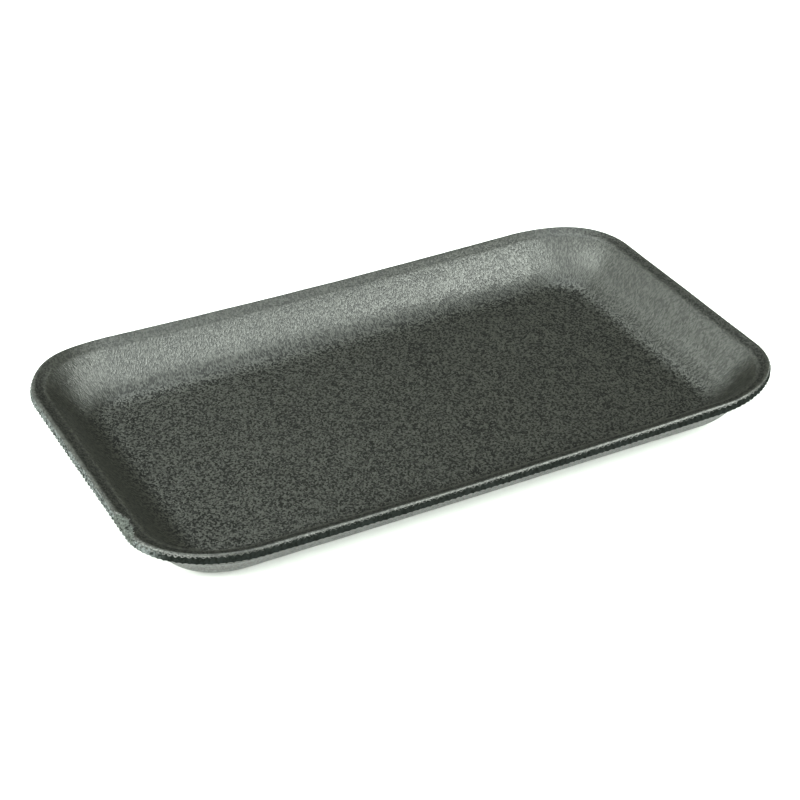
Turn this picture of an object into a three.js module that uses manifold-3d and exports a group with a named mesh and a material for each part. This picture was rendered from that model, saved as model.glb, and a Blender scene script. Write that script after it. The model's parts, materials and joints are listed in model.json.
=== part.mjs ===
// A shallow black foam tray for prepared food, as one solid.
//
// Units are millimetres. +Z is up, X runs along the tray and -Y is its front. The origin is on the
// table, under the middle of the tray. The tray is pressed from one sheet of foam: a flat floor, soft
// walls that lean outwards, and a thin lip that rises to a cut edge with fine upright flutes.

import * as THREE from 'three';
import { mergeVertices } from 'three/addons/utils/BufferGeometryUtils.js';
import Module from 'manifold-3d';

// ---- Driving dimensions ----

const LENGTH = 210;
const WIDTH = 121;
const RIM_HEIGHT = 17.2;
const FLOOR_THICKNESS = 3.6;

// The rim's corners are a little longer along X than along Y. The floor's corners are round.
const RIM_CORNER_LENGTH = 32;
const RIM_CORNER_WIDTH = 24.2;
const FLOOR_CORNER_RADIUS = 7;

// The lip is pressed thinner than the rest. Its cut edge is rounded over into a low crown. The lip
// falls inwards from there and turns over a soft shoulder into the wall. `LIP_WIDTH` is its width on the tray's two
// ends. On the long sides the lip is narrower, and the wall makes up for about half of that.
const EDGE_THICKNESS = 2.6;
const LIP_WIDTH = 4.65;
const LIP_LESS_ON_SIDES = 1.5;
const WALL_MORE_ON_SIDES = 0.7;
const LIP_DROP = 1.25;
const CROWN_INSET = 1.3;
const CROWN_RISE = 0.25;
const ROUNDED_INSET = 0.55;
const ROUNDED_DROP = 0.15;
const CUT_TOP_DROP = 0.9;
const SHOULDER_WIDTH = 1.1;
const SHOULDER_DROP = 0.8;

// The wall leaves the shoulder at this angle below level and levels out into the floor.
const WALL_ANGLE = THREE.MathUtils.degToRad(45.5);
const WALL_WIDTH = 15.9;
const WALL_STEPS = 8;
const FLOOR_INSET = LIP_WIDTH + SHOULDER_WIDTH + WALL_WIDTH;

// The pressed sheet has warped a little. The rim of each long side hangs this far below its ends at
// its middle, and the two back corners are lifted. `RIM_HEIGHT` is that of the front corners.
const SIDE_SAG = 0.85;
const BACK_LEFT_LIFT = 1.5;
const BACK_RIGHT_LIFT = 0.6;

// The lip lies flatter along the front and the two ends than along the back. It and the top of the
// wall are this much higher there, most of all half way between the crown and the foot of the lift.
const LIP_LIFT = 0.9;
const LIP_LIFT_FOOT = 12;

// Flutes of the cut edge: how many each straight side and each corner has, and how deep they are.
const FLUTES_LONG_SIDE = 75;
const FLUTES_SHORT_SIDE = 36;
const FLUTES_CORNER = 24;
const FLUTE_DEPTH = 0.45;

// Away from the cut edge one column of faces is as wide as this many flutes.
const FLUTES_PER_COLUMN = 3;

// Damage on the left end: a torn patch of the lip near the front corner, and a nick in the cut edge.
const TEAR_START = -28;
const TEAR_END = -41;
const TEAR_BITES = 5;
const TEAR_REACH = 2.6;
const TEAR_RAGGEDNESS = 0.5;
const NICK_Y = -4.6;
const NICK_SIZE = 0.8;

// ---- The outline, seen from above ----

// A station is one place on the outline. `x` and `y` run from -1 to 1 between the centres of the
// corner arcs, and `angle` is the direction that the outline faces there.
function sideStations(from, to, angle, count) {
  const stations = [];
  for (let i = 0; i < count; i += 1) {
    const t = i / count;
    stations.push({
      x: THREE.MathUtils.lerp(from[0], to[0], t),
      y: THREE.MathUtils.lerp(from[1], to[1], t),
      angle,
    });
  }
  return stations;
}

function cornerStations(corner, startAngle, count) {
  const stations = [];
  for (let i = 0; i < count; i += 1) {
    const angle = startAngle + (Math.PI / 2) * (i / count);
    stations.push({ x: corner[0], y: corner[1], angle });
  }
  return stations;
}

// All stations, counter-clockwise from the front end of the right side.
function outlineStations(pointsPerFlute) {
  const long = FLUTES_LONG_SIDE * pointsPerFlute;
  const short = FLUTES_SHORT_SIDE * pointsPerFlute;
  const corner = FLUTES_CORNER * pointsPerFlute;
  const quarter = Math.PI / 2;
  return [
    ...sideStations([1, -1], [1, 1], 0, short),
    ...cornerStations([1, 1], 0, corner),
    ...sideStations([1, 1], [-1, 1], quarter, long),
    ...cornerStations([-1, 1], quarter, corner),
    ...sideStations([-1, 1], [-1, -1], 2 * quarter, short),
    ...cornerStations([-1, -1], 2 * quarter, corner),
    ...sideStations([-1, -1], [1, -1], 3 * quarter, long),
    ...cornerStations([1, -1], 3 * quarter, corner),
  ];
}

// The point of a station on the outline that lies `inset` in from the rim, moved in by `cut`.
// The corners tighten evenly from the rim to the floor.
function outlinePoint(station, inset, cut) {
  const share = inset / FLOOR_INSET;
  const radiusX = THREE.MathUtils.lerp(RIM_CORNER_LENGTH, FLOOR_CORNER_RADIUS, share);
  const radiusY = THREE.MathUtils.lerp(RIM_CORNER_WIDTH, FLOOR_CORNER_RADIUS, share);
  const onLip = Math.min(inset / LIP_WIDTH, 1);
  const pastLip = Math.max((inset - LIP_WIDTH) / (FLOOR_INSET - LIP_WIDTH), 0);
  const insetY = inset - LIP_LESS_ON_SIDES * onLip + WALL_MORE_ON_SIDES * pastLip;
  const x = station.x * (LENGTH / 2 - inset - radiusX) + (radiusX - cut) * Math.cos(station.angle);
  const y = station.y * (WIDTH / 2 - insetY - radiusY) + (radiusY - cut) * Math.sin(station.angle);
  return new THREE.Vector2(x, y);
}

// ---- The section, from the rim inwards and down ----

// Height is measured from the upper edge of the cut, before it warps, and is negative below that.
const wallTop = new THREE.Vector2(LIP_WIDTH + SHOULDER_WIDTH, -LIP_DROP - SHOULDER_DROP);
const floorEdge = new THREE.Vector2(FLOOR_INSET, FLOOR_THICKNESS - RIM_HEIGHT);

// The wall's upper surface: steep under the lip, level at the floor.
function wallCurve() {
  const steepReach = WALL_WIDTH * 0.46;
  const levelReach = WALL_WIDTH * 0.42;
  const steepPoint = new THREE.Vector2(
    wallTop.x + steepReach,
    wallTop.y - steepReach * Math.tan(WALL_ANGLE),
  );
  const levelPoint = new THREE.Vector2(floorEdge.x - levelReach, floorEdge.y);
  return new THREE.CubicBezierCurve(wallTop, steepPoint, levelPoint, floorEdge);
}

// The wall's lower surface lies one foam thickness below its upper surface, square to it.
function lowerWallPoint(curve, t) {
  const tangent = curve.getTangent(t);
  const outwards = new THREE.Vector2(tangent.y, -tangent.x);
  return curve.getPoint(t).addScaledVector(outwards, FLOOR_THICKNESS);
}

// Rings of the surface, in order from the base, up the outside, over the edge and down the inside.
function sectionRings() {
  const curve = wallCurve();
  const rings = [];
  for (let i = WALL_STEPS; i >= 0; i -= 1) {
    const point = lowerWallPoint(curve, i / WALL_STEPS);
    rings.push({ inset: point.x, height: point.y, fluted: false });
  }
  const lipFootInset = 0.45 * LIP_WIDTH;
  rings.push({
    inset: lipFootInset,
    height: -EDGE_THICKNESS - 0.8 * LIP_DROP,
    fluted: false,
  });
  rings.push({ inset: 0, height: -EDGE_THICKNESS, fluted: true });
  rings.push({ inset: 0, height: -CUT_TOP_DROP, fluted: true });
  rings.push({ inset: ROUNDED_INSET, height: -ROUNDED_DROP, fluted: false });
  rings.push({ inset: CROWN_INSET, height: CROWN_RISE, fluted: false });
  rings.push({ inset: LIP_WIDTH, height: -LIP_DROP, fluted: false });
  for (let i = 0; i <= WALL_STEPS; i += 1) {
    const point = curve.getPoint(i / WALL_STEPS);
    rings.push({ inset: point.x, height: point.y, fluted: false });
  }
  return rings;
}

// ---- The shell ----

// How far the warp moves a point up. It is largest at the rim, and the floor stays flat.
function warpAt(station, height) {
  const aboveFloor = Math.max(0, 1 + height / (RIM_HEIGHT - FLOOR_THICKNESS));
  const sag = SIDE_SAG * (1 - station.x * station.x);
  const cornerLift = station.x < 0 ? BACK_LEFT_LIFT : BACK_RIGHT_LIFT;
  const intoCorner = station.y > 0 ? Math.sin(2 * station.angle) ** 2 : 0;
  return (cornerLift * intoCorner - sag) * aboveFloor;
}

// How much higher a point of the lip or the upper wall lies along the front and the two ends.
function lipLiftAt(station, inset) {
  const share = (inset - CROWN_INSET) / (LIP_LIFT_FOOT - CROWN_INSET);
  const wave = Math.sin(Math.PI * THREE.MathUtils.clamp(share, 0, 1));
  const offBack = station.y > 0 ? Math.cos(station.angle) : 1;
  return LIP_LIFT * (wave * offBack) ** 2;
}

// The points of one ring. On a fluted ring every other point is cut in by the flute's depth.
function ringPoints(ring, plainStations, flutedStations) {
  const stations = ring.fluted ? flutedStations : plainStations;
  return stations.map((station, index) => {
    const cut = ring.fluted && index % 2 === 1 ? FLUTE_DEPTH : 0;
    const point = outlinePoint(station, ring.inset, cut);
    const moved = warpAt(station, ring.height) + lipLiftAt(station, ring.inset);
    return new THREE.Vector3(point.x, point.y, RIM_HEIGHT + ring.height + moved);
  });
}

// Triangles between two closed rings, which may have different numbers of points.
function addBand(triangles, lower, upper) {
  let i = 0;
  let j = 0;
  while (i < lower.count || j < upper.count) {
    const lowerNow = lower.first + (i % lower.count);
    const upperNow = upper.first + (j % upper.count);
    if ((i + 1) / lower.count <= (j + 1) / upper.count) {
      triangles.push(lowerNow, lower.first + ((i + 1) % lower.count), upperNow);
      i += 1;
    } else {
      triangles.push(lowerNow, upper.first + ((j + 1) % upper.count), upperNow);
      j += 1;
    }
  }
}

// A flat fan that closes a ring. It faces down under the base and up on the floor.
function addCap(vertices, triangles, ring, height, facesUp) {
  const centre = vertices.length;
  vertices.push(new THREE.Vector3(0, 0, height));
  for (let i = 0; i < ring.count; i += 1) {
    const here = ring.first + i;
    const next = ring.first + ((i + 1) % ring.count);
    triangles.push(centre, facesUp ? here : next, facesUp ? next : here);
  }
}

function shellGeometry() {
  const flutedStations = outlineStations(2);
  const pointsPerColumn = 2 * FLUTES_PER_COLUMN;
  const plainStations = flutedStations.filter((station, index) => index % pointsPerColumn === 0);
  const vertices = [];
  const triangles = [];
  const placed = sectionRings().map((ring) => {
    const points = ringPoints(ring, plainStations, flutedStations);
    const first = vertices.length;
    vertices.push(...points);
    return { first, count: points.length };
  });
  for (let i = 0; i + 1 < placed.length; i += 1) {
    addBand(triangles, placed[i], placed[i + 1]);
  }
  addCap(vertices, triangles, placed[0], 0, false);
  addCap(vertices, triangles, placed[placed.length - 1], FLOOR_THICKNESS, true);
  const geometry = new THREE.BufferGeometry().setFromPoints(vertices);
  geometry.setIndex(triangles);
  return geometry;
}

// ---- The damage ----

// A lump in the shape of what is missing.
function lump(position, size) {
  const geometry = new THREE.IcosahedronGeometry(1, 1);
  geometry.scale(size.x, size.y, size.z);
  geometry.rotateZ(position.y);
  geometry.translate(position.x, position.y, position.z);
  return geometry;
}

// Overlapping lumps along the torn patch. They take the lip's upper side and leave its lower side.
function tearLumps() {
  const lumps = [];
  for (let i = 0; i < TEAR_BITES; i += 1) {
    const t = i / (TEAR_BITES - 1);
    const y = THREE.MathUtils.lerp(TEAR_START, TEAR_END, t);
    const intoCorner = Math.max(0, -y - (WIDTH / 2 - RIM_CORNER_WIDTH)) / RIM_CORNER_WIDTH;
    const rimX = -LENGTH / 2 + RIM_CORNER_LENGTH * (1 - Math.sqrt(1 - intoCorner ** 2));
    const reach = TEAR_REACH * (0.55 + 0.45 * Math.sin(Math.PI * t)) + TEAR_RAGGEDNESS * (i % 2);
    const size = new THREE.Vector3(reach, (TEAR_START - TEAR_END) / TEAR_BITES, EDGE_THICKNESS * 0.6);
    lumps.push(lump(new THREE.Vector3(rimX - FLUTE_DEPTH, y, RIM_HEIGHT), size));
  }
  return lumps;
}

// A few flutes are pinched off at the lower side of the cut edge.
function nickLump() {
  const position = new THREE.Vector3(-LENGTH / 2, NICK_Y, RIM_HEIGHT - EDGE_THICKNESS);
  return lump(position, new THREE.Vector3(NICK_SIZE, NICK_SIZE * 1.4, NICK_SIZE));
}

// ---- Joining and cutting ----

const wasm = await Module();
wasm.setup();

function toSolid(geometry) {
  const bare = geometry.clone();
  bare.deleteAttribute('normal');
  bare.deleteAttribute('uv');
  const merged = mergeVertices(bare);
  const mesh = new wasm.Mesh({
    numProp: 3,
    vertProperties: new Float32Array(merged.attributes.position.array),
    triVerts: new Uint32Array(merged.index.array),
  });
  return new wasm.Manifold(mesh);
}

function toGeometry(solid) {
  const mesh = solid.getMesh();
  const geometry = new THREE.BufferGeometry();
  geometry.setAttribute('position', new THREE.BufferAttribute(mesh.vertProperties, 3));
  geometry.setIndex(new THREE.BufferAttribute(mesh.triVerts, 1));
  geometry.computeVertexNormals();
  return geometry;
}

function trayGeometry() {
  let solid = toSolid(shellGeometry());
  for (const missing of [...tearLumps(), nickLump()]) {
    solid = solid.subtract(toSolid(missing));
  }
  return toGeometry(solid);
}

// ---- Material and model ----

const foam = new THREE.MeshStandardMaterial({
  name: 'black_foam',
  color: 0x2b2f2b,
  roughness: 0.5,
  metalness: 0,
  flatShading: true,
});

const tray = new THREE.Mesh(trayGeometry(), foam);
tray.name = 'foam_tray';

const model = new THREE.Group();
model.add(tray);

export default model;
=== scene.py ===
# %% [markdown]
# # A black foam tray
#
# Shops pack meat and ready dishes on trays like this one. It is a single sheet of foamed polystyrene,
# pressed into a shallow dish while it is warm and then stamped out along its rim. This lesson models the
# tray with the tools that a person would use by hand, gives it its finishes, the pressed skin and the
# open foam where it is cut or torn, and photographs it in a small studio.
#
# The solid model of the tray comes first. It gives every length, so the script loads it and notes the
# box that it fills.

# %% Load the solid model
import json
import math

import bmesh
import bpy
import numpy as np
from mathutils import Matrix, Vector

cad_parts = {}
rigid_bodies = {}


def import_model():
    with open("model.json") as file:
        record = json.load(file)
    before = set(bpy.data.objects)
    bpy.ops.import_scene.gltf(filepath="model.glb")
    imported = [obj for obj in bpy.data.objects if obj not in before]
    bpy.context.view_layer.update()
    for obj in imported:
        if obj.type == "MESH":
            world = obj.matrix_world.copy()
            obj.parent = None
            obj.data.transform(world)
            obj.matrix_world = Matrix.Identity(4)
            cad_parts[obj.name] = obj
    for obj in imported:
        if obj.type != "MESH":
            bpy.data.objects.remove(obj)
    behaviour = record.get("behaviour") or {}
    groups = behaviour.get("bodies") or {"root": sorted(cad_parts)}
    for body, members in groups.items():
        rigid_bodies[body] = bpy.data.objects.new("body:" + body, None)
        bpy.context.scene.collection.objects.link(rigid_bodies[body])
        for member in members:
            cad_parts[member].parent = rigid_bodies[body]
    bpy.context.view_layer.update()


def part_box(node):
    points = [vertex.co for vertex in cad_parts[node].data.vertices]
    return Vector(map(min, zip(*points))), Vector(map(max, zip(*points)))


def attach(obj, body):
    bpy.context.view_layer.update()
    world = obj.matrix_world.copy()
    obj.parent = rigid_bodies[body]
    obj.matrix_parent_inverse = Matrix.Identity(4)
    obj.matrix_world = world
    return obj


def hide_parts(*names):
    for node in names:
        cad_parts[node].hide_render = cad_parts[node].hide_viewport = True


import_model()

MM = 0.001
tray_low, tray_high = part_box("foam_tray")
print("the solid tray in millimetres:", [round(side / MM, 1) for side in tray_high - tray_low])

# %% [markdown]
# ## The sizes
#
# Seen from above, the tray is a rounded rectangle. Its section has a thin lip, crowned near the cut
# edge and falling inwards from there, then a soft shoulder, and a wall that starts steep and levels out
# into the floor. Length and width come from the solid model. The rest are the section's own few sizes,
# and every loop of points below is worked out from them.

# %% Sizes of the tray
LENGTH = tray_high.x - tray_low.x
WIDTH = tray_high.y - tray_low.y
BACK_LEFT_LIFT = 1.5 * MM
BACK_RIGHT_LIFT = 0.6 * MM
SIDE_SAG = 0.85 * MM
RIM_HEIGHT = 17.2 * MM

RIM_CORNER_LENGTH = 32 * MM
RIM_CORNER_WIDTH = 24.2 * MM
FLOOR_CORNER_RADIUS = 7 * MM
FLOOR_THICKNESS = 3.6 * MM
EDGE_THICKNESS = 2.6 * MM
ROUND_OVER_STARTS = 0.36 * MM
ROUND_OVER = 1.15 * MM

LIP_WIDTH = 4.65 * MM
LIP_LESS_ON_SIDES = 1.5 * MM
WALL_MORE_ON_SIDES = 0.7 * MM
LIP_DROP = 1.25 * MM
SHOULDER_WIDTH = 1.1 * MM
SHOULDER_DROP = 0.8 * MM
LIP_LIFT = 0.9 * MM
LIP_LIFT_START = 1.3 * MM
LIP_LIFT_FOOT = 12 * MM
WALL_WIDTH = 15.9 * MM
WALL_SLOPE = math.tan(math.radians(45.5))
FLOOR_INSET = LIP_WIDTH + SHOULDER_WIDTH + WALL_WIDTH

FLUTES_LONG_SIDE = 75
FLUTES_SHORT_SIDE = 36
FLUTES_CORNER = 24
FLUTE_DEPTH = 0.32 * MM

print("flutes in all:", 2 * FLUTES_LONG_SIDE + 2 * FLUTES_SHORT_SIDE + 4 * FLUTES_CORNER)

# %% [markdown]
# ## One outline
#
# Every level of the tray has the same kind of outline, so it is worth one function. By hand it is a
# plane, its corners rounded with a vertex bevel, and its face deleted so that only the loop is left.
# On the long sides the lip is a little narrower than at the ends and the wall a little wider, and the
# rim's corners are longer than they are wide. A bevel makes round corners only, so the plane is squeezed
# first, and the stretch back turns the round corners into long ones. Each straight side is then cut into
# one edge for each flute of the rim, or into several, so that all loops can be bridged column by column.

# %% A function for one outline
UNCUT_SIDE = 20 * MM


def outline_sizes(inset):
    """Length and width of the outline at an inset from the rim, and the radii of its corners."""
    share = inset / FLOOR_INSET
    radius_x = RIM_CORNER_LENGTH + share * (FLOOR_CORNER_RADIUS - RIM_CORNER_LENGTH)
    radius_y = RIM_CORNER_WIDTH + share * (FLOOR_CORNER_RADIUS - RIM_CORNER_WIDTH)
    inset_y = inset - LIP_LESS_ON_SIDES * np.minimum(inset / LIP_WIDTH, 1)
    inset_y += WALL_MORE_ON_SIDES * np.maximum((inset - LIP_WIDTH) / (FLOOR_INSET - LIP_WIDTH), 0)
    return LENGTH - 2 * inset, WIDTH - 2 * inset_y, radius_x, radius_y


def select(kind, test):
    """Selects the vertices, edges or faces of the mesh being edited that pass a test."""
    bpy.ops.mesh.select_mode(type=kind)
    bpy.ops.mesh.select_all(action="DESELECT")
    mesh = bmesh.from_edit_mesh(bpy.context.object.data)
    found = 0
    for element in {"VERT": mesh.verts, "EDGE": mesh.edges, "FACE": mesh.faces}[kind]:
        if test(element):
            element.select_set(True)
            found += 1
    mesh.select_flush_mode()
    bmesh.update_edit_mesh(bpy.context.object.data)
    return found


def cut_sides(flutes, parts, along):
    """Cuts two opposite straight sides of the newest loop, which run along axis 0 or 1."""
    def uncut(edge):
        side = edge.verts[1].co - edge.verts[0].co
        return side.length > UNCUT_SIDE and abs(side[along]) > abs(side[1 - along])

    select("EDGE", uncut)
    bpy.ops.mesh.subdivide(number_cuts=flutes - 1)
    if parts > 1:
        bpy.ops.mesh.subdivide(number_cuts=parts - 1)


def shape_outline(inset, height, parts):
    """Turns the selected unit plane into an outline with `parts` edges for each flute."""
    length, width, radius_x, radius_y = outline_sizes(inset)
    squeeze = radius_x / radius_y
    bpy.ops.transform.resize(value=(length / squeeze, width, 1))
    bpy.ops.mesh.bevel(offset=radius_y, segments=FLUTES_CORNER * parts, affect="VERTICES")
    bpy.ops.transform.resize(value=(squeeze, 1, 1))
    bpy.ops.transform.translate(value=(0, 0, height))
    bpy.ops.mesh.delete(type="ONLY_FACE")
    cut_sides(FLUTES_LONG_SIDE, parts, 0)
    cut_sides(FLUTES_SHORT_SIDE, parts, 1)
    bpy.ops.mesh.select_linked()


floor_length, floor_width = outline_sizes(FLOOR_INSET)[:2]
print("the floor in millimetres:", round(floor_length / MM, 1), "by", round(floor_width / MM, 1))

# %% [markdown]
# ## The cut edge
#
# The rim is stamped out with a toothed blade, which leaves some three hundred upright flutes, about two
# millimetres apart. They could be cut with a row of tiny wedges, but a blade's marks all run straight
# down, so it is simpler to start with a plain upright band, four columns to a flute, and to push the
# columns between the ridges in. On a lone upright band the normals are level, and so Shrink/Fatten moves
# the columns straight in. The ridges stay sharp and the hollows between them come out round.

# %% The fluted band
PARTS = 4
ROWS_ADDED = 4
EDGE_ROUNDING = 0.22 * MM
BAND_LOW = RIM_HEIGHT - EDGE_THICKNESS
BAND_TOP = RIM_HEIGHT - EDGE_ROUNDING / 2

bpy.ops.object.select_all(action="DESELECT")
bpy.ops.mesh.primitive_plane_add(size=1, enter_editmode=True)
tray = bpy.context.object
tray.name = tray.data.name = "tray_foam"
shape_outline(0, BAND_LOW, PARTS)
bpy.ops.mesh.extrude_region_move(TRANSFORM_OT_translate={"value": (0, 0, BAND_TOP - BAND_LOW)})
bpy.ops.mesh.select_all(action="SELECT")
bpy.ops.mesh.normals_make_consistent(inside=False)


def upright(edge):
    """Does the edge run up the band?"""
    return abs(edge.verts[1].co.z - edge.verts[0].co.z) > 0.1 * MM


select("EDGE", upright)
bpy.ops.mesh.subdivide(number_cuts=ROWS_ADDED)
print("the band has", len(bmesh.from_edit_mesh(tray.data).faces), "faces")

# %% [markdown]
# A column's place in its flute follows from where it lies. Along a straight side that is its distance
# from the side's end, and round a corner it is its angle. The middle column of a flute goes all the way
# in, and the two beside it go a good half of the way.

# %% Push the hollows of the flutes in
FLANK_SHARE = 0.64


def column_of(point):
    """The number of the column that a point of the rim lies on, from the start of its side or corner."""
    length, width, radius_x, radius_y = outline_sizes(0)
    past_x = abs(point.x) - (length / 2 - radius_x)
    past_y = abs(point.y) - (width / 2 - radius_y)
    if past_x > 0 and past_y > 0:
        angle = math.atan2(past_y / radius_y, past_x / radius_x)
        return round(angle / (math.pi / 2) * FLUTES_CORNER * PARTS)
    if past_y > past_x:
        return round((1 + point.x / (length / 2 - radius_x)) / 2 * FLUTES_LONG_SIDE * PARTS)
    return round((1 + point.y / (width / 2 - radius_y)) / 2 * FLUTES_SHORT_SIDE * PARTS)


for places, share in (((1, 3), FLANK_SHARE), ((2,), 1.0)):
    select("VERT", lambda vertex: column_of(vertex.co) % PARTS in places)
    bpy.ops.transform.shrink_fatten(value=-share * FLUTE_DEPTH)
    print("moved columns", places, "of each flute")

half_length = max(vertex.co.x for vertex in bmesh.from_edit_mesh(tray.data).verts)
print("half the length is still", round(half_length / MM, 3))

# %% [markdown]
# The blade leaves the band's two edges slightly soft. Each edge is extruded twice, inwards and a little
# further up or down, which rounds it. The last loop at either side gets a vertex group, so that it can
# be found again when the rest of the tray is bridged to it.

# %% Soften the band's two edges
SAME_HEIGHT = 0.01 * MM
ROUNDING_TURN = 45


def keep_loop(name):
    """Stores the selected loop as a vertex group."""
    groups = bpy.context.object.vertex_groups
    groups.active_index = groups.new(name=name).index
    bpy.ops.object.vertex_group_assign()


def soften(name, height, up):
    """Rounds one edge of the band over a quarter of a circle. `up` is 1 at the top and -1 below."""
    select("VERT", lambda vertex: abs(vertex.co.z - height) < SAME_HEIGHT)
    inset = 0
    for degrees in (ROUNDING_TURN, 2 * ROUNDING_TURN):
        angle = math.radians(degrees)
        before = math.radians(degrees - ROUNDING_TURN)
        rise = EDGE_ROUNDING * (math.sin(angle) - math.sin(before))
        further = EDGE_ROUNDING * (math.cos(before) - math.cos(angle))
        bpy.ops.mesh.extrude_region_move(TRANSFORM_OT_translate={"value": (0, 0, up * rise)})
        size = [(side - 2 * (inset + further)) / (side - 2 * inset) for side in (LENGTH, WIDTH)]
        bpy.ops.transform.resize(value=(*size, 1))
        inset += further
    keep_loop(name)


soften("band_top", BAND_TOP, 1)
soften("band_low", BAND_LOW, -1)
bpy.ops.object.mode_set(mode="OBJECT")
print("the softened band has", len(tray.data.polygons), "faces")

# %% [markdown]
# ## Lip, shoulder and wall
#
# The rest of the tray is a stack of outlines, each a little further in and further up or down. On the
# upper side they follow the lip, turn over a soft shoulder and follow the wall to the floor. All three
# are Bezier curves. The lip's rises from the cut edge to a low crown and falls inwards. The shoulder's
# turns from the fall of the lip to that of the wall. The wall's starts at about forty-five degrees and
# lies level where it meets the floor.

# %% The section of the upper side
LIP_STEPS = 8
SHOULDER_STEPS = 4
WALL_STEPS = 16
LIP_START = MM * Vector((0.2, 0.1))
CROWN_PULL = MM * Vector((0.8, 0.6))
LIP_PULL = MM * Vector((2.2, -0.1))
LIP_SLOPE = 0.42
SHOULDER_PULL = 0.35 * MM
WALL_START_REACH = 0.46
WALL_END_REACH = 0.42


def bezier(ends, t):
    """The point at t, from 0 to 1, of the Bezier curve with these control points."""
    while len(ends) > 1:
        ends = [before.lerp(after, t) for before, after in zip(ends, ends[1:])]
    return ends[0]


def curve(ends, steps):
    """Even steps along a Bezier curve, without its first point."""
    return [bezier(ends, i / steps) for i in range(1, steps + 1)]


crest = Vector((LIP_WIDTH, -LIP_DROP))
wall_top = crest + Vector((SHOULDER_WIDTH, -SHOULDER_DROP))
floor_edge = Vector((FLOOR_INSET, FLOOR_THICKNESS - RIM_HEIGHT))
lip_ends = [LIP_START, CROWN_PULL, LIP_PULL, crest]
shoulder_ends = [
    crest,
    crest + SHOULDER_PULL * Vector((1, -LIP_SLOPE)),
    wall_top - SHOULDER_PULL * Vector((1, -WALL_SLOPE)),
    wall_top,
]
wall_ends = [
    wall_top,
    wall_top + WALL_START_REACH * WALL_WIDTH * Vector((1, -WALL_SLOPE)),
    floor_edge - WALL_END_REACH * WALL_WIDTH * Vector((1, 0)),
    floor_edge,
]

lip = curve(lip_ends, LIP_STEPS)
shoulder = curve(shoulder_ends, SHOULDER_STEPS)
wall = curve(wall_ends, WALL_STEPS)
print("upper section in millimetres:", [tuple(round(v / MM, 2) for v in p) for p in lip + shoulder + wall])

# %% [markdown]
# The lower side of the wall is the same curve, one foam thickness away. Under the lip the foam swells
# from its thin edge to its full thickness, and a short curve that bends round the corner there is enough
# for that.

# %% The section of the lower side
LIP_CORNER_INSET = 0.45
LIP_CORNER_DROP = 0.8
UNDERSIDE_AT = (0.3, 0.5, 0.7, 0.85)


def lower_wall_point(t):
    """The wall's lower surface, square to the point at t of its upper surface."""
    along = bezier([after - before for before, after in zip(wall_ends, wall_ends[1:])], t).normalized()
    return bezier(wall_ends, t) + FLOOR_THICKNESS * Vector((along.y, -along.x))


lower_wall = [lower_wall_point(i / WALL_STEPS) for i in range(WALL_STEPS + 1)]
edge_foot = Vector((EDGE_ROUNDING, -EDGE_THICKNESS - EDGE_ROUNDING))
lip_corner = Vector((LIP_CORNER_INSET * LIP_WIDTH, -EDGE_THICKNESS - LIP_CORNER_DROP * LIP_DROP))
underside = [bezier([edge_foot, lip_corner, lower_wall[0]], t) for t in UNDERSIDE_AT]
print("under the lip:", [tuple(round(v / MM, 2) for v in p) for p in underside])

# %% [markdown]
# Each outline is made as an object of its own, which keeps every step light, and they are joined to the
# band. The loops near the rim keep four columns to a flute, so that the lip meets the fluted edge column
# by column. Further in one column to a flute is enough.

# %% Make the outlines and join them to the band


def add_loop(name, point, parts):
    """Makes one outline. A point is its inset and its height, counted from the rim."""
    bpy.ops.mesh.primitive_plane_add(size=1, enter_editmode=True)
    shape_outline(point.x, RIM_HEIGHT + point.y, parts)
    keep_loop(name)
    bpy.ops.object.mode_set(mode="OBJECT")
    return bpy.context.object


def add_side(side, points, fine):
    """Makes a run of outlines, of which the first ones are fine. Returns their names."""
    names = [f"{side}_{number:02d}" for number in range(len(points))]
    for number, point in enumerate(points):
        loops.append(add_loop(names[number], point, PARTS if number < fine else 1))
    return names


loops = []
upper_names = add_side("upper", lip + shoulder + wall, len(lip + shoulder))
lower_names = add_side("lower", underside + lower_wall, len(underside))

bpy.ops.object.select_all(action="DESELECT")
for loop in loops:
    loop.select_set(True)
tray.select_set(True)
bpy.context.view_layer.objects.active = tray
bpy.ops.object.join()
print("joined", len(loops), "outlines")

# %% [markdown]
# Bridge Edge Loops closes the gap between each loop and the next. Where one loop has four columns to a
# flute and the next has one, it takes up the difference with triangles.

# %% Bridge each loop to the next


def select_loops(*names):
    """Selects the loops that are stored under these names."""
    bpy.ops.mesh.select_all(action="DESELECT")
    for name in names:
        tray.vertex_groups.active_index = tray.vertex_groups[name].index
        bpy.ops.object.vertex_group_select()


bpy.ops.object.mode_set(mode="EDIT")
bpy.ops.mesh.select_mode(type="VERT")
for chain in (["band_top", *upper_names], ["band_low", *lower_names]):
    for pair in zip(chain, chain[1:]):
        select_loops(*pair)
        bpy.ops.mesh.bridge_edge_loops()
print("faces so far:", len(bmesh.from_edit_mesh(tray.data).faces))

# %% [markdown]
# Floor and base are closed with Grid Fill, which lays a net of even squares inside a loop. The net
# lets the floor be very slightly uneven later on. Then the loops' groups have done their work, and the
# normals are turned outwards once for the whole closed shell.

# %% Close the floor and the base
for name in (upper_names[-1], lower_names[-1]):
    select_loops(name)
    bpy.ops.mesh.fill_grid(span=FLUTES_LONG_SIDE + FLUTES_CORNER)

bpy.ops.mesh.select_all(action="SELECT")
bpy.ops.mesh.normals_make_consistent(inside=False)
bpy.ops.object.mode_set(mode="OBJECT")
tray.vertex_groups.clear()
print("faces of the shell:", len(tray.data.polygons))

# %% [markdown]
# ## Where a point lies
#
# The damage, the warp of the tray and the streaks of its walls all follow the outline, so each vertex
# has to know where it lies on it: how far in from the rim, how far along its side, and how far round
# its corner. The outline shrinks steadily towards the floor, so the inset is found by halving: is the
# point inside the outline half way in, and so on, two dozen times for all vertices at once.

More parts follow.
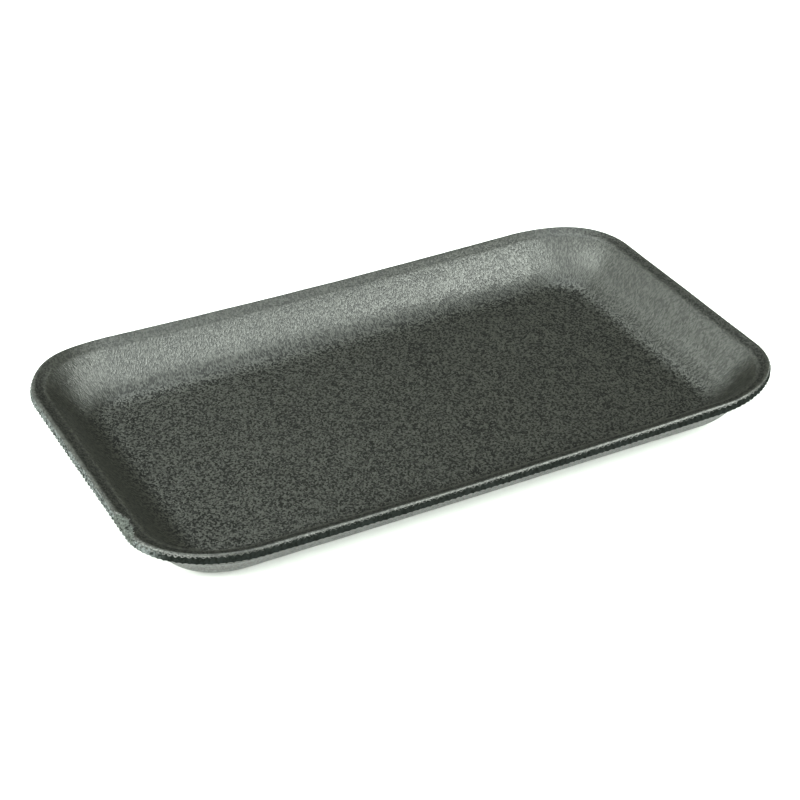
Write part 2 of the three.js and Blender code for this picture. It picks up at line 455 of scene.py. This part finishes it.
# %% Find the place of every vertex
HALVINGS = 24


def places_of(points):
    """The inset of each point, its station along x and y from -1 to 1, and the angle in its corner.

    The angle is 0 along the ends and a quarter of a turn along the long sides.
    """
    x = np.abs(points[:, 0])
    y = np.abs(points[:, 1])
    least = np.zeros(len(points))
    most = np.full(len(points), FLOOR_INSET)
    for _ in range(HALVINGS):
        inset = (least + most) / 2
        length, width, radius_x, radius_y = outline_sizes(inset)
        past_x = (x - length / 2 + radius_x) / radius_x
        past_y = (y - width / 2 + radius_y) / radius_y
        in_corner = (past_x > 0) & (past_y > 0)
        inside = np.where(in_corner, past_x**2 + past_y**2 < 1, (past_x < 1) & (past_y < 1))
        least = np.where(inside, inset, least)
        most = np.where(inside, most, inset)
    station_x = np.clip(points[:, 0] / (length / 2 - radius_x), -1, 1)
    station_y = np.clip(points[:, 1] / (width / 2 - radius_y), -1, 1)
    angle = np.arctan2(np.maximum(past_y, 0), np.maximum(past_x, 0))
    return inset, station_x, station_y, np.where(in_corner, angle, (past_y > past_x) * math.pi / 2)


def points_of(thing):
    """The mesh's vertices as an array."""
    flat = np.zeros(3 * len(thing.data.vertices))
    thing.data.vertices.foreach_get("co", flat)
    return flat.reshape(-1, 3)


def move_points(thing, points):
    """Puts the mesh's vertices where the array says."""
    thing.data.vertices.foreach_set("co", points.ravel())
    thing.data.update()


inset = places_of(points_of(tray))[0]
print("the insets run to", round(inset.max() / MM, 2), "mm")

# %% [markdown]
# ## Damage
#
# Near the front left corner a strip of the lip has been torn off: the skin is gone, and a rough facet
# slopes out to the cut edge. A little further back the edge has a nick, as if the blade's two ends met
# there. The damage needs smaller faces than the rest of the lip, so the faces there are subdivided first.

# %% Smaller faces where the tray is damaged
TEAR_START = -27 * MM
TEAR_END = -40.5 * MM
TEAR_REACH = 3.2 * MM
NICK_Y = -4.9 * MM
DAMAGE_MARGIN = 1.5 * MM
LEFT_END = -LENGTH / 2


def is_damaged_face(face):
    """Is the face on the left lip, near the tear or the nick?"""
    centre = face.calc_center_median()
    if centre.z < RIM_HEIGHT - 2 * EDGE_THICKNESS or centre.x > LEFT_END + 2 * TEAR_REACH:
        return False
    in_tear = TEAR_END - DAMAGE_MARGIN < centre.y < TEAR_START + DAMAGE_MARGIN
    return in_tear or abs(centre.y - NICK_Y) < DAMAGE_MARGIN


bpy.ops.object.mode_set(mode="EDIT")
print("faces to make smaller:", select("FACE", is_damaged_face))
bpy.ops.mesh.subdivide(number_cuts=2)
bpy.ops.object.mode_set(mode="OBJECT")

# %% [markdown]
# The tear reaches in from the edge along a rounded outline with a ragged border, which is two sine waves
# of different lengths. Inside it the foam is pressed down onto a facet that falls outwards. The nick is a
# small round dent in the cut edge, and its vertices move inwards.

# %% Tear the strip off and cut the nick
TEAR_DEPTH_INSIDE = 0.35 * MM
TEAR_DEPTH_OUTSIDE = 1.35 * MM
TEAR_EDGE = 0.25 * MM
TEAR_LEAN = 0.8
TEAR_BLUNTNESS = 0.6
COARSE_RAGS = 0.3 * MM
COARSE_WAVES = 23
FINE_RAGS = 0.2 * MM
FINE_WAVES = 61
NICK_DEPTH = 0.6 * MM
NICK_SIZE = 0.9 * MM


def ramp(value, start, end):
    """Rises smoothly from 0 at start to 1 at end."""
    share = np.clip((value - start) / (end - start), 0, 1)
    return share * share * (3 - 2 * share)


points = points_of(tray)
inset = places_of(points)[0]
along = np.clip((TEAR_START - points[:, 1]) / (TEAR_START - TEAR_END), 0, 1)
ragged = COARSE_RAGS * np.sin(COARSE_WAVES * along) + FINE_RAGS * np.sin(FINE_WAVES * along + 1)
reach = TEAR_REACH * np.sin(math.pi * along**TEAR_LEAN) ** TEAR_BLUNTNESS + ragged * np.sin(math.pi * along)
lip_height = RIM_HEIGHT - LIP_DROP * inset / LIP_WIDTH
upper = ramp(points[:, 2], lip_height - EDGE_THICKNESS, lip_height)
on_left = points[:, 0] < LEFT_END + 2 * TEAR_REACH
torn = on_left * (reach > TEAR_EDGE) * ramp(reach - inset, 0, TEAR_EDGE) * upper
outwards = np.clip(1 - inset / np.maximum(reach, TEAR_EDGE), 0, 1)
points[:, 2] -= torn * (TEAR_DEPTH_INSIDE + outwards * (TEAR_DEPTH_OUTSIDE - TEAR_DEPTH_INSIDE))

from_nick = np.hypot(points[:, 1] - NICK_Y, points[:, 2] - (RIM_HEIGHT - EDGE_THICKNESS))
points[:, 0] += on_left * (inset < NICK_SIZE) * NICK_DEPTH * (1 - ramp(from_nick, 0, NICK_SIZE))
move_points(tray, points)
print("torn vertices:", int((torn > 0.5).sum()))

# %% [markdown]
# ## Warp and unevenness
#
# Pressed foam doesn't stay quite true. The rims of the long sides sag a little between the corners, and
# the two back corners are lifted. The floor stays on the table, so this warp grows from nothing at the
# floor to its full size at the rim. Along the front and the ends the lip lies flatter than along the
# back, so its inner part and the top of the wall are lifted there, and the lift dies away round the back
# corners. The outer millimetre of the lip's top is rounded over towards the cut edge. All of it is a few
# lines of arithmetic on all vertices.

# %% Warp the tray
ROUND_OVER_DEPTH = 0.9
ROUND_OVER_TURN = 0.97

points = points_of(tray)
inset, station_x, station_y, angle = places_of(points)
above_floor = np.clip((points[:, 2] - FLOOR_THICKNESS) / (RIM_HEIGHT - FLOOR_THICKNESS), 0, 1)
corner_lift = np.where(station_x < 0, BACK_LEFT_LIFT, BACK_RIGHT_LIFT)
lift = (station_y > 0) * np.sin(2 * angle) ** 2 * corner_lift
sag = SIDE_SAG * (1 - station_x**2)

lift_share = np.clip((inset - LIP_LIFT_START) / (LIP_LIFT_FOOT - LIP_LIFT_START), 0, 1)
off_back = np.where(station_y > 0, np.cos(angle), 1)
lip_lift = LIP_LIFT * (np.sin(np.pi * lift_share) * off_back) ** 2

on_top = np.clip((points[:, 2] - RIM_HEIGHT + EDGE_THICKNESS) / EDGE_THICKNESS, 0, 1)
short_of_crown = np.clip(1 - (inset - ROUND_OVER_STARTS) / ROUND_OVER, 0, 1)
round_over = ROUND_OVER_DEPTH * ROUND_OVER * (1 - np.sqrt(1 - ROUND_OVER_TURN * short_of_crown**2))
points[:, 2] += above_floor * (lift - sag) + lip_lift - on_top * round_over
move_points(tray, points)
print("top of the tray:", round(points[:, 2].max() / MM, 2), "mm")

# %% [markdown]
# Three Displace modifiers make the surfaces less than perfect, each held by a vertex group: a slow
# unevenness of the skin, the coarse face that the blade leaves, and the broken foam of the tear. The
# base stays flat. They are applied at once, so that the relief is in the mesh and not only in the
# shading.

# %% Roughen the skin, the cut edge and the tear
UNEVENNESS_AT_EDGE = 0.3


def weigh(name, weights):
    """Makes a vertex group with a weight for each vertex."""
    group = tray.vertex_groups.new(name=name)
    for index in np.nonzero(weights > 0)[0]:
        group.add([int(index)], float(weights[index]), "REPLACE")


def roughen(group, size, strength, depth):
    """Displaces a vertex group along its normals by cloudy noise, and applies it."""
    clouds = bpy.data.textures.new(f"{group}_clouds", "CLOUDS")
    clouds.noise_scale = size
    clouds.noise_depth = depth
    displace = tray.modifiers.new(group, "DISPLACE")
    displace.texture = clouds
    displace.vertex_group = group
    displace.strength = strength
    bpy.ops.object.modifier_apply(modifier=group)


on_band = (inset < FLUTE_DEPTH + EDGE_ROUNDING) & (points[:, 2] > RIM_HEIGHT - 2 * EDGE_THICKNESS)
weigh("uneven_skin", np.where(on_band, UNEVENNESS_AT_EDGE, ramp(points[:, 2], 0, FLOOR_THICKNESS)))
weigh("cut_foam", on_band * (1 - torn))
weigh("torn_foam", torn)
roughen("uneven_skin", size=22 * MM, strength=0.22 * MM, depth=1)
roughen("cut_foam", size=0.9 * MM, strength=0.16 * MM, depth=2)
roughen("torn_foam", size=1.1 * MM, strength=0.7 * MM, depth=3)
print("the relief is in the mesh of", len(tray.data.vertices), "vertices")

# %% [markdown]
# ## Smooth and sharp
#
# The skin is smooth, and the ridges of the flutes are sharp. Shade Smooth by Angle tells them apart. The
# streaks of the walls need three numbers for each vertex, stored as an attribute: the point of the rim
# that the vertex lies under, and how far in it is.

# %% Shade it and store the place under the rim
SHARPEST_BEND = math.radians(46)
bpy.ops.object.shade_smooth_by_angle(angle=SHARPEST_BEND)

length, width, radius_x, radius_y = outline_sizes(0)
past_x = np.abs(station_x) >= 1
past_y = np.abs(station_y) >= 1
round_x = np.sign(station_x) * past_x * radius_x * np.cos(angle)
round_y = np.sign(station_y) * past_y * radius_y * np.where(past_x, np.sin(angle), 1)
foot = np.column_stack([
    station_x * (length / 2 - radius_x) + round_x,
    station_y * (width / 2 - radius_y) + round_y,
    inset,
])
under_rim = tray.data.attributes.new("under_rim", "FLOAT_VECTOR", "POINT")
under_rim.data.foreach_set("vector", foot.ravel())
print("stored", under_rim.name, "for", len(under_rim.data), "vertices")

# %% [markdown]
# ## Writing finishes as sums
#
# The finishes mix several patterns, and their recipes are easier to read as sums than as nodes.
# `Value` wraps one output of a node, and its operators add the Math nodes. `Finish` holds a material
# and has one method that adds any other node: the node's type, its settings, and what goes into its
# sockets.

# %% Two small classes for the finishes
DULL_ROUGHNESS = 0.9
DULL_GLOSS = 0.1


class Value:
    """An output socket that can be used in a sum."""

    def __init__(self, finish, socket):
        self.finish = finish
        self.socket = socket

    def __add__(self, other):
        return self.finish.math("ADD", self, other)

    def __sub__(self, other):
        return self.finish.math("SUBTRACT", self, other)

    def __rsub__(self, other):
        return self.finish.math("SUBTRACT", other, self)

    def __mul__(self, other):
        return self.finish.math("MULTIPLY", self, other)

    def other(self, name):
        """Another output of the same node."""
        return Value(self.finish, self.socket.node.outputs[name])

    __radd__ = __add__
    __rmul__ = __mul__


class Finish:
    """A material, and short ways to add nodes to it."""

    def __init__(self, name, **constants):
        self.material = bpy.data.materials.new(name)
        self.material.use_nodes = True
        self.nodes = self.material.node_tree.nodes
        self.links = self.material.node_tree.links
        self.shader = self.nodes["Principled BSDF"]
        for socket, value in constants.items():
            self.shader.inputs[socket.replace("_", " ")].default_value = value

    def feed(self, socket, value):
        """Gives an input socket a value or a link."""
        if isinstance(value, Value):
            self.links.new(value.socket, socket)
        else:
            socket.default_value = value

    def add(self, kind, settings, inputs, output=0):
        """Adds a node. Its settings are set first, and then its sockets."""
        node = self.nodes.new("ShaderNode" + kind)
        for name, value in settings.items():
            setattr(node, name, value)
        for name, value in inputs.items():
            self.feed(node.inputs[name], value)
        return Value(self, node.outputs[output])

    def math(self, operation, first, second):
        return self.add("Math", {"operation": operation}, {0: first, 1: second})

    def noise(self, place, size, detail=2.0):
        """Cloudy noise from 0 to 1, with blots about as wide as the size."""
        inputs = {"Vector": place, "Scale": 1 / size, "Detail": detail}
        return self.add("TexNoise", {"noise_dimensions": "3D"}, inputs)

    def ramp(self, value, low, high, to_low=0.0, to_high=1.0):
        """Maps the range from low to high onto another one, with soft ends."""
        inputs = {"Value": value, "From Min": low, "From Max": high, "To Min": to_low, "To Max": to_high}
        return self.add("MapRange", {"interpolation_type": "SMOOTHSTEP"}, inputs)

    def stretch(self, place, factors):
        """Scales a place along each axis."""
        return self.add("VectorMath", {"operation": "MULTIPLY"}, {0: place, 1: factors})

    def blend(self, share, first, second):
        """A colour between two colours."""
        inputs = {"Factor": share, 6: first, 7: second}
        return self.add("Mix", {"data_type": "RGBA"}, inputs, output=2)

    def bump(self, height, distance):
        """A normal from a height, of which 1 stands for so many metres."""
        return self.add("Bump", {}, {"Height": height, "Distance": distance})

    def sink(self, share, colour):
        """Mixes in a dull colour that hardly reflects, by its share."""
        inputs = {"Base Color": colour, "Roughness": DULL_ROUGHNESS, "Specular IOR Level": DULL_GLOSS}
        dull = self.add("BsdfPrincipled", {}, inputs)
        glossy = Value(self, self.shader.outputs["BSDF"])
        mixed = self.add("MixShader", {}, {0: share, 1: glossy, 2: dull})
        self.links.new(mixed.socket, self.nodes["Material Output"].inputs["Surface"])

    def use(self, **inputs):
        """Feeds the shader's own sockets, and returns the material."""
        for name, value in inputs.items():
            self.feed(self.shader.inputs[name.replace("_", " ")], value)
        return self.material


print("ready to mix finishes")

# %% [markdown]
# ## The skin
#
# Where the foam has met the mould it has a closed, satin skin with a fine leathery grain: the flattened
# tops of cells about half a millimetre across, some of them lighter than others. Voronoi cells give
# both, the low domes and a tone for each cell. On the floor and on the lip the cells read the position.
# The walls are stretched as they are pressed, so there the cells read the place under the rim, scaled so
# that they come out narrower across the slope and longer down it.
#
# The cells with the darkest tones are pits that hardly reflect, so a dull second shader is mixed in
# there. They show most on the floor. The same dull shader paints shade on the lip along the front and
# the ends, where the lip mirrors less light than along the back.
# Black foam is never quite black: it is a dark grey with a little green in it.

# %% Mix the skin
DARK_SKIN = (0.003, 0.0032, 0.002, 1)
LIGHT_SKIN = (0.0095, 0.01, 0.0065, 1)
# The dull colour serves both the pits and the painted shade on the lip.
PIT_AND_LIP_SHADE = (0.001, 0.0011, 0.0008, 1)
SKIN_GLOSS = 0.8
SMOOTHEST = 0.36
ROUGHEST = 0.42
GRAIN_SIZE = 0.5 * MM
GRAIN_DEPTH = 0.08 * MM
PORE_SIZE = 0.45 * MM
PORE_HEIGHT = 0.5
BLOTCH_SIZE = 12 * MM
BLOTCH_SHARE = 0.15
ACROSS_SLOPE = 1.3
DOWN_SLOPE = 0.85
# Painted shade on the lip along the front and the ends, mixed in with the dull shader:
LIP_PAINTED_SHADE = 0.42
LIP_SHADE_UP_TO = 42 * MM
LIP_SHADE_FROM = 1.2 * MM
LIP_SHADE_FADES_FROM = 3.6 * MM
WALL_STARTS = 5 * MM
WALL_ENDS = 15 * MM
WALL_FADE = 3 * MM
PITS_START = 11 * MM
PITS_END = 21 * MM
PITS_ON_RIM = 0.4
DARKEST_TONE = 0.22
LIGHTEST_TONE = 0.78
PIT_SHARE = 0.9

skin = Finish("pressed_foam_skin", Specular_IOR_Level=SKIN_GLOSS)
position = skin.add("TexCoord", {}, {}, output="Object")
rim_place = skin.add("Attribute", {"attribute_name": "under_rim"}, {}, output="Vector")
inset_here = skin.add("SeparateXYZ", {}, {"Vector": rim_place}, output="Z")
past_lip = skin.ramp(inset_here, WALL_STARTS, WALL_STARTS + MM)
past_wall = skin.ramp(inset_here, WALL_ENDS, WALL_ENDS + WALL_FADE)
on_wall = past_lip - past_wall


def foam_cells(place):
    """Low domes about as wide as the grain, and a tone for each of them."""
    distance = skin.add("TexVoronoi", {"feature": "F1"}, {"Vector": place, "Scale": 1 / GRAIN_SIZE})
    return 1 - distance, distance.other("Color") * 1.0


drawn_out = skin.stretch(rim_place, (ACROSS_SLOPE, ACROSS_SLOPE, DOWN_SLOPE))
round_domes, round_tones = foam_cells(position)
long_domes, long_tones = foam_cells(drawn_out)
domes = round_domes + on_wall * (long_domes - round_domes)
tones = round_tones + on_wall * (long_tones - round_tones)
pores = skin.noise(position, PORE_SIZE, detail=1.0)
blotches = skin.noise(position, BLOTCH_SIZE)

skin_tone = skin.ramp((1 - BLOTCH_SHARE) * tones + BLOTCH_SHARE * blotches, 0.3, 0.7)
foam_skin = skin.use(
    Base_Color=skin.blend(skin_tone, DARK_SKIN, LIGHT_SKIN),
    Roughness=skin.ramp(pores, 0.3, 0.7, SMOOTHEST, ROUGHEST),
    Normal=skin.bump(domes + PORE_HEIGHT * pores, GRAIN_DEPTH),
)

pits = skin.ramp(tones, DARKEST_TONE, LIGHTEST_TONE, PIT_SHARE, 0)
pits_show = skin.ramp(inset_here, PITS_START, PITS_END, PITS_ON_RIM, 1)
towards_back = skin.add("SeparateXYZ", {}, {"Vector": rim_place}, output="Y")
# Painted shade: the lip is darkened along the front and the ends, where it mirrors less light than along
# the back.
shade_on_front_and_ends = skin.ramp(towards_back, LIP_SHADE_UP_TO, WIDTH / 2, 1, 0)
past_crown = skin.ramp(inset_here, LIP_SHADE_FROM, LIP_SHADE_FROM + MM)
shade_on_lip = past_crown - skin.ramp(inset_here, LIP_SHADE_FADES_FROM, LIP_WIDTH)
skin.sink(pits * pits_show + LIP_PAINTED_SHADE * shade_on_front_and_ends * shade_on_lip, PIT_AND_LIP_SHADE)
print("the skin has", len(skin.nodes), "nodes")

# %% [markdown]
# ## The cut foam
#
# The stamped edge and the tear show the inside of the foam: open cells about a quarter of a millimetre
# across, with no skin to shine. Light is lost in them, so the cut edge is nearly black. Broken foam has
# lighter crumbs. One function mixes both from their tones. Their relief is the edges of Voronoi cells.
# At the left end of the tray a blotchy painted sheen lightens both, in place of the light that grazes
# the cut edge there.

# %% Mix the cut foam
CUT_ROUGHNESS = 0.9
CUT_GLOSS = 0.05
CUT_DARK = (0.003, 0.004, 0.003, 1)
CUT_LIGHT = (0.01, 0.012, 0.011, 1)
# Painted sheen at the left end of the cut and the torn foam:
CUT_PAINTED_SHEEN = (0.12, 0.13, 0.13, 1)
TORN_DARK = (0.004, 0.005, 0.004, 1)
TORN_LIGHT = (0.13, 0.14, 0.13, 1)
TORN_PAINTED_SHEEN = (0.06, 0.065, 0.06, 1)
CELL_SIZE = 0.28 * MM
CELL_DEPTH = 0.07 * MM
CELL_BORDER = 0.25
CRUMB_SIZE = 0.8 * MM
SHEEN_BLOTCH_SIZE = 0.7 * MM
FULL_SHEEN_TO = -103 * MM
NO_SHEEN_FROM = -98.5 * MM


def mix_cut_foam(name, dark, light, painted_sheen):
    """Open cells between two tones, and a painted sheen at the left end of the tray."""
    cut = Finish(name, Roughness=CUT_ROUGHNESS, Specular_IOR_Level=CUT_GLOSS)
    position = cut.add("TexCoord", {}, {}, output="Object")
    edges = {"Vector": position, "Scale": 1 / CELL_SIZE}
    to_edge = cut.add("TexVoronoi", {"feature": "DISTANCE_TO_EDGE"}, edges)
    cells = cut.ramp(to_edge, 0, CELL_BORDER, 1, 0)
    crumbs = cut.ramp(cut.noise(position, CRUMB_SIZE), 0.35, 0.6)
    along = cut.add("SeparateXYZ", {}, {"Vector": position}, output="X")
    # Painted sheen: blotches of a lighter tone at the left end, where light grazes the cut edge.
    sheen_blotches = cut.ramp(cut.noise(position, SHEEN_BLOTCH_SIZE, detail=1.0), 0.35, 0.6)
    sheen_at_end = cut.ramp(along, FULL_SHEEN_TO, NO_SHEEN_FROM, 1, 0) * sheen_blotches
    tone = cut.blend(crumbs * (0.5 + cells * 0.5), dark, light)
    return cut.use(
        Base_Color=cut.blend(sheen_at_end, tone, painted_sheen),
        Normal=cut.bump(cells + crumbs, CELL_DEPTH),
    )


foam_cut = mix_cut_foam("cut_foam", CUT_DARK, CUT_LIGHT, CUT_PAINTED_SHEEN)
foam_torn = mix_cut_foam("torn_foam", TORN_DARK, TORN_LIGHT, TORN_PAINTED_SHEEN)
print("mixed", foam_cut.name, "and", foam_torn.name)

# %% [markdown]
# The skin goes all over the tray. The cut foam then goes on the band, whose faces lie at the very rim and
# are upright, and the torn foam goes on the torn patch.

# %% Put the finishes on
for finish in (foam_skin, foam_cut, foam_torn):
    tray.data.materials.append(finish)

torn_group = tray.vertex_groups["torn_foam"].index
is_torn = set()
for vertex in tray.data.vertices:
    if any(entry.group == torn_group and entry.weight > 0.5 for entry in vertex.groups):
        is_torn.add(vertex.index)

face_insets = places_of(np.array([face.center for face in tray.data.polygons]))[0]


def shows_cut_foam(face):
    """Is the face on the upright band of the cut edge?"""
    return face_insets[face.index] < FLUTE_DEPTH + EDGE_ROUNDING and abs(face.normal.z) < 0.5


def shows_torn_foam(face):
    """Is the face all on the torn patch?"""
    return all(vertex.index in is_torn for vertex in face.verts)


bpy.ops.object.mode_set(mode="EDIT")
for slot, (what, test) in enumerate((("cut", shows_cut_foam), ("torn", shows_torn_foam)), start=1):
    print(what, "faces:", select("FACE", test))
    tray.active_material_index = slot
    bpy.ops.object.material_slot_assign()
bpy.ops.object.mode_set(mode="OBJECT")

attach(tray, "root")
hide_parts("foam_tray")

# %% [markdown]
# ## The studio
#
# The tray stands on a white table under soft boxes. The table is a plane, a hair below the base.

# %% The table
TABLE_SIZE = 6
TABLE_DROP = 0.05 * MM
TABLE_WHITE = (0.85, 0.86, 0.85, 1)

bpy.ops.object.select_all(action="DESELECT")
bpy.ops.mesh.primitive_plane_add(size=TABLE_SIZE, location=(0, 0, -TABLE_DROP))
table = bpy.context.object
table.name = "table"
white = Finish("white_table", Roughness=0.6, Base_Color=TABLE_WHITE)
table.data.materials.append(white.material)
print("the table stands at", round(table.location.z / MM, 2), "mm")

# %% [markdown]
# ## Light
#
# What dark, satin foam shows is mostly what it mirrors, so the studio lights it from many sides. Ten round
# soft boxes hang at one distance from the tray. The strongest are the key at its front right and the one
# at its left. Two low ones at the front graze the floor, and weaker ones above, behind and at the front
# left fill in the rest. Each is a row of its name, its bearing and its height in degrees, its power and
# its tint.

# %% Lights
BOX_DISTANCE = 1.6
BOX_SIZE = 0.9
GREENISH = (0.92, 1, 0.92)
BLUISH = (0.91, 1, 0.98)
PALE = (0.98, 1, 0.95)
WORLD_TINT = (0.95, 1, 0.88, 1)
WORLD_STRENGTH = 0.22


def soft_box(name, azimuth, elevation, power, tint):
    """Adds an area light that looks at the tray. Azimuth 0 is behind the tray and 90 at its right."""
    a = math.radians(azimuth)
    e = math.radians(elevation)
    out = Vector((math.sin(a) * math.cos(e), math.cos(a) * math.cos(e), math.sin(e)))
    bpy.ops.object.light_add(type="AREA", location=out * BOX_DISTANCE)
    light = bpy.context.object
    light.name = name
    light.rotation_mode = "QUATERNION"
    light.rotation_quaternion = out.to_track_quat("Z", "Y")
    light.data.shape = "DISK"
    light.data.size = BOX_SIZE
    light.data.energy = power
    light.data.color = tint
    print(name, "has", power, "W")


for name, azimuth, elevation, power, tint in (
    ("left_box", 270, 35, 36, GREENISH),
    ("low_key_box", 135, 12, 16, PALE),
    ("low_front_left_box", 225, 12, 22, PALE),
    ("key_box", 135, 35, 40, GREENISH),
    ("front_left_box", 225, 35, 15, GREENISH),
    ("top_box", 0, 85, 13, BLUISH),
    ("back_top_box", 0, 58, 10, GREENISH),
    ("back_left_box", 315, 35, 11, GREENISH),
    ("front_top_box", 180, 58, 8, BLUISH),
    ("right_top_box", 90, 58, 3, GREENISH),
):
    soft_box(name, azimuth, elevation, power, tint)

world = bpy.data.worlds.new("studio")
bpy.context.scene.world = world
world.use_nodes = True
background = world.node_tree.nodes["Background"]
background.inputs["Color"].default_value = WORLD_TINT
background.inputs["Strength"].default_value = WORLD_STRENGTH

# %% [markdown]
# ## Camera
#
# The camera looks down on the tray from its front left, with a long lens, so that the tray's far side is
# only a little smaller than its near side. Its place was worked out from the outline of the rim in the
# photograph. The middle of the rim lies about thirty pixels above the middle of the picture and five to
# its right, and the camera is moved down and to the left by as much.

# %% The camera
CAMERA_AZIMUTH = -28.44
CAMERA_ELEVATION = 33.05
CAMERA_ROLL = 0.565
CAMERA_DISTANCE = 0.6091
FOCAL_LENGTH = 90.63
SENSOR = 36.0
RIM_RIGHT_OF_MIDDLE = 5.08
RIM_BELOW_MIDDLE = -28.97
PIXELS_PER_METRE = 3306.4

azimuth = math.radians(CAMERA_AZIMUTH)
elevation = math.radians(CAMERA_ELEVATION)
backwards = Vector((
    math.sin(azimuth) * math.cos(elevation),
    -math.cos(azimuth) * math.cos(elevation),
    math.sin(elevation),
))
level = Vector((math.cos(azimuth), math.sin(azimuth), 0))
rightwards = Matrix.Rotation(math.radians(CAMERA_ROLL), 3, backwards) @ level
upwards = backwards.cross(rightwards)
right = RIM_RIGHT_OF_MIDDLE / PIXELS_PER_METRE
down = RIM_BELOW_MIDDLE / PIXELS_PER_METRE
place = Vector((0, 0, RIM_HEIGHT)) + backwards * CAMERA_DISTANCE - right * rightwards + down * upwards
turn = Matrix((rightwards, upwards, backwards)).transposed().to_4x4()

bpy.ops.object.camera_add()
camera = bpy.context.object
camera.name = "camera"
camera.matrix_world = Matrix.Translation(place) @ turn
camera.data.lens = FOCAL_LENGTH
camera.data.sensor_width = SENSOR
camera.data.sensor_fit = "HORIZONTAL"
bpy.context.scene.camera = camera
bpy.context.scene.view_settings.view_transform = "Standard"
print("camera at", [round(c / MM) for c in place])
